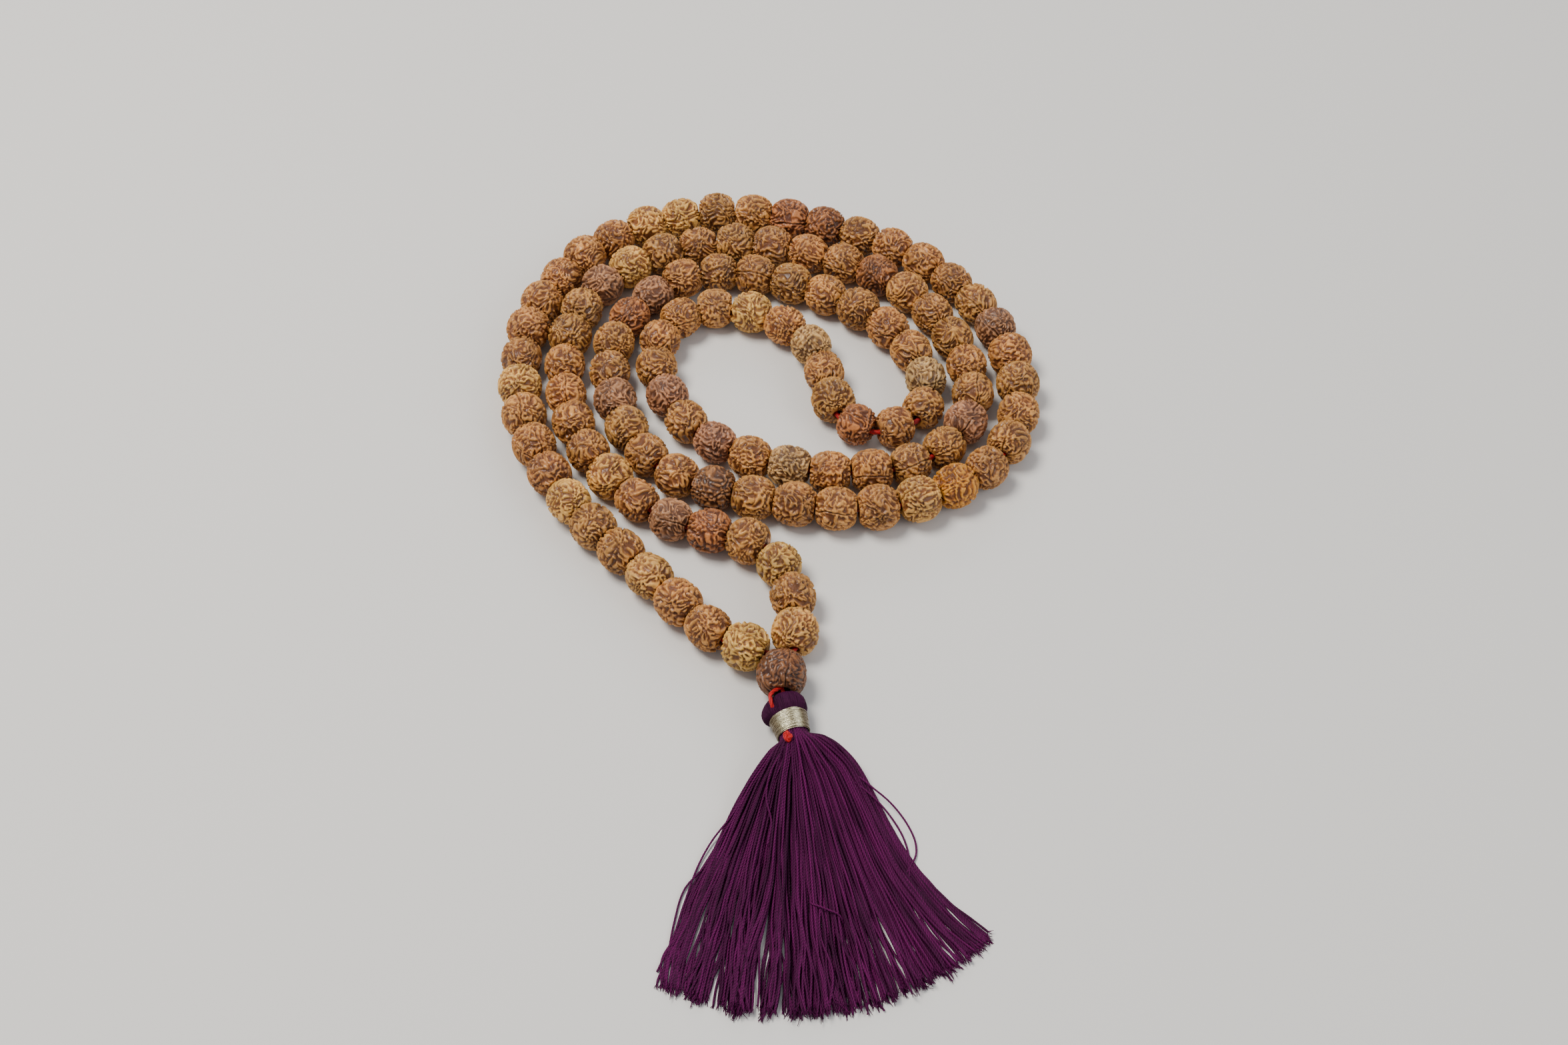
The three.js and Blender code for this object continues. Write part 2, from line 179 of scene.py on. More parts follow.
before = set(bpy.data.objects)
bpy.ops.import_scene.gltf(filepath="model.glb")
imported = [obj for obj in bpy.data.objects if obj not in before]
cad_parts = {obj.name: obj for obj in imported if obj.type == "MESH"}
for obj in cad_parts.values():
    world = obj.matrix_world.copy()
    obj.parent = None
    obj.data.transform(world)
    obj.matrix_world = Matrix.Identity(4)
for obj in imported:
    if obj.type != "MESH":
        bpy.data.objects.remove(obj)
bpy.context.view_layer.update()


# ---- Colours and materials ----


def screen(red, green, blue):
    """A linear colour from 0 to 255 screen values."""
    share = np.array([red, green, blue], float) / 255
    return np.where(share <= 0.04045, share / 12.92, ((share + 0.055) / 1.055) ** 2.4)


def opaque(colour):
    return (*[float(c) for c in colour], 1.0)


class Nodes:
    """A short way to add shader nodes to one material. An input that is a socket is linked."""

    def __init__(self, name):
        self.material = bpy.data.materials.new(name)
        self.material.use_nodes = True
        self.tree = self.material.node_tree
        self.shader = self.tree.nodes["Principled BSDF"]

    def add(self, kind, inputs=None, **settings):
        node = self.tree.nodes.new("ShaderNode" + kind)
        for key, value in settings.items():
            setattr(node, key, value)
        self.fill(node, inputs or {})
        return node

    def fill(self, node, inputs):
        for key, value in inputs.items():
            if isinstance(value, bpy.types.NodeSocket):
                self.tree.links.new(value, node.inputs[key])
            else:
                node.inputs[key].default_value = value

    def attribute(self, name):
        return self.add("Attribute", attribute_name=name)

    def noise(self, scale, detail):
        place = self.add("TexCoord").outputs["Object"]
        return self.add("TexNoise", {"Scale": scale, "Detail": detail, "Vector": place}).outputs["Fac"]

    def remap(self, value, low, high, to_low, to_high):
        inputs = {"Value": value, "From Min": low, "From Max": high, "To Min": to_low, "To Max": to_high}
        return self.add("MapRange", inputs).outputs["Result"]

    def maths(self, operation, first, second):
        return self.add("Math", {0: first, 1: second}, operation=operation).outputs[0]

    def mix(self, share, first, second, blend="MIX"):
        node = self.add("Mix", data_type="RGBA", blend_type=blend)
        self.fill(node, {0: share, 6: first, 7: second})
        return node.outputs[2]

    def bump(self, height, distance, strength):
        inputs = {"Height": height, "Distance": distance, "Strength": strength}
        return self.add("Bump", inputs).outputs["Normal"]


def seed_material():
    """Ridged seed shell: the mesh carries the colours of its ridges, and the shader adds fine grain."""
    made = Nodes("seed_shell")
    shell = made.attribute("shell").outputs["Color"]
    grain = made.remap(made.noise(1900, 3.0), 0.3, 0.7, 0.76, 1.2)
    made.fill(made.shader, {
        "Base Color": made.mix(1.0, shell, grain, "MULTIPLY"),
        "Roughness": 0.5,
        "Specular IOR Level": 0.3,
        "Coat Weight": 0.26,
        "Coat Roughness": 0.14,
        "Normal": made.bump(made.noise(2600, 5.0), 0.00014, 0.8),
    })
    return made.material


def thread_material():
    """Plum cotton thread, two-ply: each thread has its own tint, fibres show as fine streaks, and the twist
    is painted as highlight on each ply and shade between the plies.
    """
    made = Nodes("plum_thread")
    tint = made.attribute("tint").outputs["Fac"]
    deep = opaque(screen(32, 2, 26))
    bright = opaque(screen(98, 10, 78))
    base = made.mix(made.remap(tint, 0.0, 1.0, 0.1, 0.9), deep, bright)
    twist = made.add("SeparateXYZ", {"Vector": made.attribute("twist").outputs["Vector"]}).outputs
    turn = made.maths("MULTIPLY", twist["Z"], 4 * math.pi)
    stripe = made.maths(
        "ADD",
        made.maths("MULTIPLY", twist["X"], made.maths("COSINE", turn, 0.0)),
        made.maths("MULTIPLY", twist["Y"], made.maths("SINE", turn, 0.0)),
    )
    # The ply stripes are painted highlight on the plies and painted shade between them; they also drive the
    # bump.
    ply = made.remap(stripe, -0.8, 0.5, 0.64, 1.06)
    patch = made.remap(made.noise(110, 2.0), 0.35, 0.65, 0.82, 1.12)
    fibre = made.remap(made.noise(5200, 2.0), 0.3, 0.7, 0.78, 1.2)
    shade = made.maths("MULTIPLY", ply, made.maths("MULTIPLY", patch, fibre))
    made.fill(made.shader, {
        "Base Color": made.mix(1.0, base, shade, "MULTIPLY"),
        "Roughness": 0.66,
        "Specular IOR Level": 0.15,
        "Sheen Weight": 0.05,
        "Sheen Roughness": 0.4,
        "Sheen Tint": opaque(screen(176, 70, 150)),
        "Normal": made.bump(made.maths("ADD", ply, made.maths("MULTIPLY", fibre, 0.3)), 0.00015, 1.0),
    })
    return made.material


def cord_material():
    """Twisted red cotton."""
    made = Nodes("red_cotton")
    tint = made.attribute("tint").outputs["Fac"]
    base = made.mix(tint, opaque(screen(96, 2, 6)), opaque(screen(204, 10, 12)))
    fibre = made.remap(made.noise(5200, 3.0), 0.3, 0.7, 0.75, 1.2)
    made.fill(made.shader, {
        "Base Color": made.mix(1.0, base, fibre, "MULTIPLY"),
        "Roughness": 0.62,
        "Specular IOR Level": 0.35,
        "Sheen Weight": 0.06,
        "Sheen Roughness": 0.4,
        "Normal": made.bump(made.noise(5600, 3.0), 0.00006, 0.8),
    })
    return made.material


def binding_material():
    """Pale gold metallic thread; its tint paints highlight bands and shade round it, and the noise paints
    glints along it.
    """
    made = Nodes("pale_gold_thread")
    # Painted glints: fine noise brightens and darkens the painted highlight.
    glint_noise = made.remap(made.noise(7000, 1.0), 0.36, 0.64, 0.7, 1.1)
    lit = made.maths("MULTIPLY", glint_noise, made.attribute("tint").outputs["Fac"])
    made.fill(made.shader, {
        "Base Color": made.mix(lit, opaque(screen(94, 70, 24)), opaque(screen(255, 247, 208))),
        "Metallic": 0.65,
        "Roughness": 0.24,
        "Coat Weight": 0.6,
        "Coat Roughness": 0.12,
        "Normal": made.bump(made.noise(4200, 2.0), 0.00018, 0.9),
    })
    return made.material


def floor_material():
    made = Nodes("pale_floor")
    cloud = made.remap(made.noise(3.0, 3.0), 0.3, 0.7, 0.97, 1.0)
    made.fill(made.shader, {
        "Base Color": made.mix(1.0, opaque(screen(226, 223, 217)), cloud, "MULTIPLY"),
        "Roughness": 0.7,
        "Specular IOR Level": 0.25,
    })
    return made.material


SEED = seed_material()
THREAD = thread_material()
RED = cord_material()
GOLD = binding_material()


# ---- Meshes ----


class Shape:
    """Points in millimetres and faces, gathered from several closed parts."""

    def __init__(self):
        self.points = []
        self.faces = []
        self.values = []
        self.twists = []
        self.count = 0

    def add(self, points, faces, values, twist=None):
        self.points.append(points)
        self.faces += [face + self.count for face in faces]
        self.values.append(values)
        self.twists.append(np.zeros((len(points), 3)) if twist is None else twist)
        self.count += len(points)

    def piece(self, name, material, attribute):
        """A mesh object. The attribute holds one number or one colour for each point."""
        points = np.concatenate(self.points)
        values = np.concatenate(self.values)
        corners = np.concatenate([face.ravel() for face in self.faces])
        sizes = np.concatenate([np.full(len(face), face.shape[1]) for face in self.faces])
        starts = np.concatenate([[0], np.cumsum(sizes)[:-1]])
        mesh = bpy.data.meshes.new(name)
        mesh.vertices.add(len(points))
        mesh.vertices.foreach_set("co", (points * MM).astype(np.float32).ravel())
        mesh.loops.add(len(corners))
        mesh.loops.foreach_set("vertex_index", corners.astype(np.int32))
        mesh.polygons.add(len(starts))
        mesh.polygons.foreach_set("loop_start", starts.astype(np.int32))
        mesh.polygons.foreach_set("use_smooth", np.ones(len(starts), bool))
        mesh.update(calc_edges=True)
        mesh.validate()
        if values.ndim == 2:
            layer = mesh.attributes.new(attribute, "FLOAT_COLOR", "POINT")
            alpha = np.ones((len(values), 1))
            layer.data.foreach_set("color", np.hstack([values, alpha]).astype(np.float32).ravel())
        else:
            layer = mesh.attributes.new(attribute, "FLOAT", "POINT")
            layer.data.foreach_set("value", values.astype(np.float32))
            layer = mesh.attributes.new("twist", "FLOAT_VECTOR", "POINT")
            layer.data.foreach_set("vector", np.concatenate(self.twists).astype(np.float32).ravel())
        mesh.materials.append(material)
        made = bpy.data.objects.new(name, mesh)
        bpy.context.scene.collection.objects.link(made)
        return made


def grid_faces(rows, columns, closed_rows=False):
    """Quads between rings of points, each ring closed."""
    row = np.arange(rows if closed_rows else rows - 1)[:, None]
    column = np.arange(columns)[None, :]
    after_row = (row + 1) % rows
    after_column = (column + 1) % columns
    corners = [
        row * columns + column,
        row * columns + after_column,
        after_row * columns + after_column,
        after_row * columns + column,
    ]
    return np.stack([np.broadcast_to(c, corners[0].shape) for c in corners], -1).reshape(-1, 4)


def unit(vectors):
    return vectors / np.maximum(np.linalg.norm(vectors, axis=-1, keepdims=True), 1e-12)


def add_tubes(shape, paths, radii, sides, tint, lobes=0, depth=0.0, lay=None, roll=0.0, fine_lay=None):
    """Closed tubes round paths, an array of (tubes, rings, 3). Lobes are the plies that twist round each.

    A twist too fine for the mesh goes to the shader, as the cosine and sine of the place round a
    tube of two plies, and the turns so far.
    """
    paths = np.asarray(paths, float)
    tubes, rings = paths.shape[:2]
    tangents = unit(np.gradient(paths, axis=1))
    normals = np.empty_like(paths)
    side = np.cross(tangents[:, 0], UP) + np.array([1e-6, 0, 0])
    for ring in range(rings):
        tangent = tangents[:, ring]
        side = unit(side - (side * tangent).sum(-1, keepdims=True) * tangent)
        normals[:, ring] = side
    binormals = np.cross(tangents, normals)
    steps = np.linalg.norm(np.diff(paths, axis=1), axis=-1)
    walked = np.concatenate([np.zeros((tubes, 1)), np.cumsum(steps, axis=1)], axis=1)
    turns = np.broadcast_to(np.asarray(roll, float).reshape(-1, 1), (tubes, 1))
    turned = turns + (2 * math.pi * walked / lay if lay else 0 * walked)
    angles = 2 * math.pi * np.arange(sides) / sides
    ply = (1 - np.cos(lobes * (angles - turned[..., None]))) / 2
    spread = np.broadcast_to(radii, (tubes, rings))[..., None] * (1 - depth * ply)
    points = (
        paths[:, :, None]
        + (spread * np.cos(angles))[..., None] * normals[:, :, None]
        + (spread * np.sin(angles))[..., None] * binormals[:, :, None]
    )
    quads = grid_faces(rings, sides)
    offsets = np.arange(tubes)[:, None, None] * rings * sides
    first = np.arange(sides)[::-1]
    last = np.arange(sides) + (rings - 1) * sides
    faces = [
        (quads[None] + offsets).reshape(-1, 4),
        (np.stack([first, last])[None] + offsets).reshape(-1, sides),
    ]
    per_point = np.broadcast_to(np.asarray(tint, float).reshape(-1, 1, 1), (tubes, rings, sides))
    # Tubes with plies are darkened in the grooves between the plies, as painted shade.
    shade = per_point * (1 - 0.55 * ply) if lobes else per_point
    twist = None
    if fine_lay:
        twist = np.empty((tubes, rings, sides, 3))
        twist[..., 0] = np.cos(2 * (angles - turns[..., None]))
        twist[..., 1] = np.sin(2 * (angles - turns[..., None]))
        twist[..., 2] = walked[..., None] / fine_lay
        twist = twist.reshape(-1, 3)
    shape.add(points.reshape(-1, 3), faces, shade.reshape(-1), twist)


def curve_through(points, steps):
    """A centripetal Catmull-Rom curve through points, with that many steps between each two."""
    knots = np.asarray(points, float)
    knots = np.vstack([2 * knots[0] - knots[1], knots, 2 * knots[-1] - knots[-2]])
    share = (np.arange(steps) / steps)[:, None]
    pieces = []
    for i in range(1, len(knots) - 2):
        p0, p1, p2, p3 = knots[i - 1:i + 3]
        d0, d1, d2 = (math.sqrt(np.linalg.norm(b - a)) for a, b in ((p0, p1), (p1, p2), (p2, p3)))
        t1 = ((p1 - p0) / d0 - (p2 - p0) / (d0 + d1) + (p2 - p1) / d1) * d1
        t2 = ((p2 - p1) / d1 - (p3 - p1) / (d1 + d2) + (p3 - p2) / d2) * d1
        square = -3 * p1 + 3 * p2 - 2 * t1 - t2
        cube = 2 * p1 - 2 * p2 + t1 + t2
        pieces.append(p1 + t1 * share + square * share**2 + cube * share**3)
    return np.vstack([*pieces, knots[-2]])


def along(line, count):
    """Points spread evenly along a line."""
    walked = np.concatenate([[0], np.cumsum(np.linalg.norm(np.diff(line, axis=0), axis=1))])
    at = np.linspace(0, walked[-1], count)
    return np.stack([np.interp(at, walked, line[:, k]) for k in range(3)], axis=1)


def smooth(low, high, value):
    share = np.clip((value - low) / (high - low), 0, 1)
    return share * share * (3 - 2 * share)


def waves(rng, points, wavelength, count=22, stretch=1.0):
    """Smooth noise of about one wavelength, with unit spread. Stretch draws it out along x."""
    directions = unit(rng.normal(size=(count, 3)))
    directions[:, 0] /= stretch
    lengths = wavelength * rng.uniform(0.8, 1.2, count)
    phases = rng.uniform(0, 2 * math.pi, count)
    turns = points @ (directions * (2 * math.pi / lengths)[:, None]).T
    return np.cos(turns + phases).sum(1) * math.sqrt(2 / count)


# ---- Strand layout ----


def chance(index):
    value = math.sin(index * 12.9898) * 43758.5453
    return value - math.floor(value)


def bead_radius(bead):
    return (BEAD_DIAMETER + BEAD_DIAMETER_SPREAD * (2 * chance(bead) - 1)) / 2


def lay_gaps():
    """Points of the gaps before bead 1, between beads, and after the last bead."""
    line = curve_through([(x, y, 0) for x, y in ROUTE], ROUTE_STEPS)
    walked = np.concatenate([[0], np.cumsum(np.linalg.norm(np.diff(line, axis=0), axis=1))])
    wanted = [FIRST_BEAD_AT]
    for bead in range(1, BEAD_COUNT + 1):
        slack = FOLD_SLACK if FOLD_BEADS[0] <= bead <= FOLD_BEADS[1] else 0
        wanted.append(wanted[-1] + BEAD_PITCH + slack)
    gaps = np.stack([np.interp(wanted, walked, line[:, k]) for k in range(3)], axis=1)
    radii = np.array([bead_radius(bead) for bead in range(1, BEAD_COUNT + 1)])
    gaps[:, 2] = (radii[[0, *range(BEAD_COUNT)]] + radii[[*range(BEAD_COUNT), -1]]) / 2
    return gaps


GAPS = lay_gaps()


def bead_direction(bead):
    level = (GAPS[bead] - GAPS[bead - 1]) * [1, 1, 0]
    return unit(level)


def bead_centre(bead):
    middle = (GAPS[bead] + GAPS[bead - 1]) / 2
    return np.array([middle[0], middle[1], bead_radius(bead)])


def bend_at(gap):
    if gap in (0, BEAD_COUNT):
        return 0.0
    cosine = float(bead_direction(gap) @ bead_direction(gap + 1))
    return math.acos(min(1.0, cosine))


def end_half(bead, gap):
    """Distance from a bead's middle to its end, clear of its neighbour inside their bend."""
    half = np.linalg.norm((GAPS[bead] - GAPS[bead - 1])[:2]) / 2
    room = OPEN_GAPS.get(gap, 0.0) * 0.5
    return half - MOUTH_RADIUS * math.tan(bend_at(gap) / 2) - BEAD_END_CLEARANCE - room


# ---- Camera ----


def add_camera():
    camera = bpy.data.cameras.new("camera")
    camera.sensor_width = SENSOR_WIDTH
    camera.lens = FOCAL_PIXELS / IMAGE_WIDTH * SENSOR_WIDTH
    camera.clip_start = 0.01
    camera.clip_end = 20
    placed = bpy.data.objects.new("camera", camera)
    placed.location = [c * MM for c in CAMERA_PLACE]
    placed.rotation_euler = (math.pi / 2 - CAMERA_DOWN, 0, 0)
    bpy.context.scene.collection.objects.link(placed)
    bpy.context.scene.camera = placed


# ---- Cord ----


def add_cord():
    """The one red cord that the beads are strung on, from the guru bead round and back into it."""
    line = curve_through([LEFT_MOUTH, *GAPS, RIGHT_MOUTH], CORD_STEPS_PER_BEAD)
    rng = np.random.default_rng(7)
    wear = 0.55 + 0.2 * waves(rng, line, 9.0)
    shape = Shape()
    add_tubes(shape, [line], CORD_RADIUS, CORD_SIDES, 1.0, CORD_PLIES, CORD_PLY_DEPTH, CORD_LAY_LENGTH)
    shape.values[0] *= np.repeat(np.clip(wear, 0.2, 1), CORD_SIDES)
    made = shape.piece("strand_cord", RED, "tint")
    left, right = GAPS[LEFT_PIVOT] * MM, GAPS[RIGHT_PIVOT] * MM
    hinge = unit((left - right) * [1, 1, 0])
    outward = np.cross(hinge, UP)
    if outward[1] > 0:
        outward = -outward
    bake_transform(made)
    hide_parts("cord_left_lead", "cord_coil", "cord_right_lead")
    return made


# ---- Beads ----

# Colours of a bead's ridge tops, flanks and valleys, the height of its ridges, how far apart they are,
# how wide they are as a share of that, and how much of it is worn smooth.
# The darker valley colours are partly the shell's own colour and partly painted shade in the hollows.
LOOKS = {
    "tan": dict(
        ridge=(202, 141, 70), flank=(165, 106, 50), valley=(107, 61, 28),
        height=0.52, apart=0.84, wide=0.8, worn=0.0,
    ),
    "pale": dict(
        ridge=(230, 174, 86), flank=(190, 132, 60), valley=(125, 75, 33),
        height=0.52, apart=0.8, wide=0.8, worn=0.0,
    ),
    "grey": dict(
        ridge=(210, 166, 100), flank=(172, 127, 72), valley=(108, 74, 41),
        height=0.48, apart=0.8, wide=0.8, worn=0.0,
    ),
    "mauve": dict(
        ridge=(186, 130, 86), flank=(150, 100, 64), valley=(98, 60, 37),
        height=0.46, apart=0.84, wide=0.85, worn=0.04,
    ),
    "red": dict(
        ridge=(182, 116, 62), flank=(142, 83, 42), valley=(90, 48, 24),
        height=0.52, apart=0.9, wide=0.85, worn=0.0,
    ),
    "ochre": dict(
        ridge=(224, 152, 52), flank=(186, 113, 36), valley=(116, 63, 18),
        height=0.54, apart=1.0, wide=0.9, worn=0.0,
    ),
    "dark": dict(
        ridge=(166, 108, 62), flank=(124, 76, 42), valley=(72, 40, 22),
        height=0.44, apart=0.88, wide=0.85, worn=0.06,
    ),
    "guru": dict(
        ridge=(130, 83, 44), flank=(98, 58, 29), valley=(61, 32, 17),
        height=0.32, apart=0.74, wide=0.85, worn=0.1,
    ),
}
LOOK_OF = {
    "pale": (1, 4, 7, 11, 18, 19, 36, 66, 93, 101, 106, 108),
    "grey": (58, 64, 75),
    "mauve": (29, 45, 49, 71, 73, 80, 94, 103),
    "red": (22, 23, 48, 61, 86, 104),
    "ochre": (35,),
    "dark": (41,),
}


def look_of(bead):
    return next((name for name, beads in LOOK_OF.items() if bead in beads), "tan")


def add_shell(shape, rng, look, radius, start_half, end_half_length, mouth, bore, place):
    """One drilled seed shell with its own ridges. Place turns points along x into the part's frame."""
    power = 2 / BEAD_SQUARENESS
    inner = radius - BEAD_BASE
    rim = math.asin(min(0.95, (mouth / inner) ** (1 / power)))
    polar = np.linspace(rim, math.pi - rim, BEAD_ROWS)
    around = 2 * math.pi * np.arange(BEAD_COLUMNS) / BEAD_COLUMNS
    half = np.where(np.cos(polar) > 0, start_half, end_half_length)
    flat = np.sign(np.cos(polar)) * np.abs(np.cos(polar)) ** power
    axial = -flat / math.cos(rim) ** power * half
    radial = inner * np.sin(polar) ** power
    steep = unit(np.stack([axial / half**2, radial / inner**2], axis=1))
    x = np.repeat(axial, BEAD_COLUMNS)
    r = np.repeat(radial, BEAD_COLUMNS)
    out = np.repeat(steep, BEAD_COLUMNS, axis=0)
    angle = np.tile(around, BEAD_ROWS)
    base = np.stack([x, r * np.cos(angle), r * np.sin(angle)], axis=1)

    # Worm-like ridges follow the zero lines of a smooth noise, broken into knobs of uneven height.
    warp = np.stack([waves(rng, base, WARP_LENGTH, 12) for _ in range(3)], axis=1)
    bent = base + WARP_REACH * warp
    worm = waves(rng, bent, 2 * look["apart"], 30, 1.1)
    ridge = smooth(0.12, 0.9, np.exp(-((worm / look["wide"]) ** 2)))
    knob = smooth(-0.8, 0.8, waves(rng, bent, KNOB_LENGTH, 30))
    pearl = smooth(0.25, 1.15, waves(rng, bent, PEARL_LENGTH, 30))
    relief = np.maximum(ridge * (0.2 + 0.8 * knob), 0.95 * pearl)
    worn = look["worn"] + 0.15 * smooth(0.2, 1.4, waves(rng, base, BEAD_SWELL_LENGTH, 12))

    # Seams run from hole to hole between raised lips.
    seam_wave = 0.07 * np.sin(x * 0.8 + rng.uniform(0, 6)) + 0.025 * waves(rng, base, 2.2, 10)
    first = rng.uniform(0, 2 * math.pi)
    off = (angle + seam_wave - first) % (2 * math.pi / MUKHI)
    off = np.minimum(off, 2 * math.pi / MUKHI - off) * r
    shown = rng.choice([0.3, 0.6, 1]) * smooth(-1.8, 0.0, waves(rng, base, BEAD_SWELL_LENGTH, 12))
    seam = shown * np.exp(-((off / SEAM_HALF_WIDTH) ** 2))
    lip = shown * np.exp(-(((off - LIP_OFFSET) / LIP_HALF_WIDTH) ** 2))

    relief = relief * (1 - worn) * (1 - 0.8 * seam) * (1 - 0.55 * lip) + LIP_HEIGHT * lip
    lift = look["height"] * relief - SEAM_DEPTH * seam
    swelling = 0.05 * waves(rng, base, BEAD_SWELL_LENGTH, 10)
    lift = lift + swelling + 0.016 * waves(rng, bent, FINE_LENGTH, 24)
    lift = np.minimum(lift, BEAD_BASE + BEAD_PROUD)
    points = base.copy()
    points[:, 0] += lift * out[:, 0]
    points[:, 1] += lift * out[:, 1] * np.cos(angle)
    points[:, 2] += lift * out[:, 1] * np.sin(angle)
    points[:, 0] = np.clip(points[:, 0], -start_half, end_half_length)
    over = np.maximum(np.hypot(points[:, 1], points[:, 2]) / (radius + BEAD_PROUD), 1)
    points[:, 1:] /= over[:, None]

    # The colour follows the relief: darker valleys are partly the shell's own colour and partly painted
    # shade.
    tone = np.clip(relief + 0.07 * waves(rng, bent, 0.7, 16), 0, 1)
    stops = [screen(*look[key]) for key in ("valley", "flank", "ridge")]
    colour = np.stack(
        [np.interp(tone, TONE_STOPS, [stop[k] for stop in stops]) for k in range(3)], axis=1
    )
    stain = smooth(-1.6, 1.4, waves(rng, base, 5.0, 12))
    colour *= (0.76 + 0.34 * stain)[:, None]
    colour *= 1 - 0.4 * seam[:, None]
    colour = colour * rng.uniform(0.86, 1.12) * rng.uniform(0.96, 1.04, 3)

    # The bore closes the shell, coloured at half the valley colour as painted shade inside the hole.
    depths = [
        end_half_length - BORE_CHAMFER, end_half_length * 0.5,
        -start_half * 0.5, BORE_CHAMFER - start_half,
    ]
    for depth in depths:
        level = np.full(BEAD_COLUMNS, depth)
        ring = np.stack([level, bore * np.cos(around), bore * np.sin(around)], axis=1)
        points = np.vstack([points, ring])
        colour = np.vstack([colour, np.tile(stops[0] * 0.5, (BEAD_COLUMNS, 1))])
    shape.add(place(points), [grid_faces(BEAD_ROWS + len(depths), BEAD_COLUMNS, True)], colour)


def laid(centre, direction):
    """Turns points along x, y and z into points along a level direction, to its left and up."""
    left = np.cross(UP, direction)
    return lambda points: centre + points @ np.stack([direction, left, UP])


def node_of(bead):
    """The CAD node and the body of a bead."""
    for first, last, count in STRETCHES:
        if first <= bead <= last:
            start = bead - (bead - first) % count
            if count == 1:
                return f"bead_{bead:03d}", f"bead_{bead:03d}"
            return f"beads_{start:03d}_{start + count - 1:03d}", "strand"
    raise ValueError(bead)


def add_beads():
    for bead in range(1, BEAD_COUNT + 1):
        rng = np.random.default_rng(500 + bead)
        shape = Shape()
        look = LOOKS[look_of(bead)]
        halves = end_half(bead, bead - 1), end_half(bead, bead)
        place = laid(bead_centre(bead), bead_direction(bead))
        add_shell(shape, rng, look, bead_radius(bead), *halves, MOUTH_RADIUS, BORE_RADIUS, place)
        node, body = node_of(bead)
        made = shape.piece(f"seed_{bead:03d}", SEED, "shell")
        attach(made, body)
        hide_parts(node)


def add_guru():
    rng = np.random.default_rng(31)
    shape = Shape()
    place = laid(GURU_CENTRE, np.array([0.0, -1.0, 0.0]))
    add_shell(
        shape, rng, LOOKS["guru"], GURU_RADIUS, GURU_HALF_LENGTH, GURU_HALF_LENGTH,
        GURU_MOUTH_RADIUS, GURU_BORE_RADIUS, place,
    )
    made = shape.piece("guru_seed", SEED, "shell")
    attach(made, "guru")
    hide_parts("guru_bead", "guru_cord")


# ---- Tassel ----

AXIS = np.array([math.sin(TASSEL_HEADING), -math.cos(TASSEL_HEADING), 0.0])
ACROSS = np.array([math.cos(TASSEL_HEADING), math.sin(TASSEL_HEADING), 0.0])


def on_tassel(down, across, up):
    """A place from its distance down the tassel, to its right and above its middle."""
    down, across, up = (np.asarray(v, float)[..., None] for v in (down, across, up))
    return HEAD_TOP + down * AXIS + across * ACROSS + up * UP


def add_tie():
    """The strand's two cord ends leave the guru bead, hook over the head and go under the binding."""
    shape = Shape()
    line = along(curve_through(TIE_ROUTE, 24), 90)
    add_tubes(shape, [line], TIE_RADIUS, CORD_SIDES, 0.9, CORD_PLIES, CORD_PLY_DEPTH, 3.4)
    stub = along(curve_through(TIE_STUB, 20), 50)
    add_tubes(shape, [stub], TIE_RADIUS * 0.95, CORD_SIDES, 0.7, CORD_PLIES, CORD_PLY_DEPTH, 3.4)
    made = shape.piece("tie_cord_ends", RED, "tint")
    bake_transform(made)
    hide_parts("tie_neck", "tie_cord")


def add_knot():
    """A tight overhand knot below the binding: its turns are a knotted loop drawn out along the tassel."""
    turn = np.linspace(0, 2 * math.pi, 121)[:-1]
    wide = KNOT_SCALE * (0.42 + 0.2 * np.cos(3 * turn))
    level = KNOT_SCALE * 0.32 * np.sin(3 * turn)
    knot = np.stack([wide * np.cos(2 * turn), 1.35 * wide * np.sin(2 * turn), level], axis=1)
    knot = np.vstack([knot, knot[:1]])
    places = KNOT_PLACE + knot[:, :1] * ACROSS + knot[:, 1:2] * AXIS + knot[:, 2:] * UP
    shape = Shape()
    add_tubes(shape, [places], 0.36 * KNOT_SCALE, 14, 0.95, CORD_PLIES, 0.14, 1.6)
    out_of_binding = [on_tassel(6.4, -0.9, 1.6), on_tassel(7.3, -1.15, 1.9), on_tassel(7.9, -1.3, 2.3)]
    into = along(curve_through([*out_of_binding, KNOT_PLACE], 16), 40)
    add_tubes(shape, [into], TIE_RADIUS, 14, 0.8, CORD_PLIES, 0.16, 2.4)
    made = shape.piece("tie_knot_turns", RED, "tint")
    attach(made, "skirt")
    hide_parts("tie_knot")


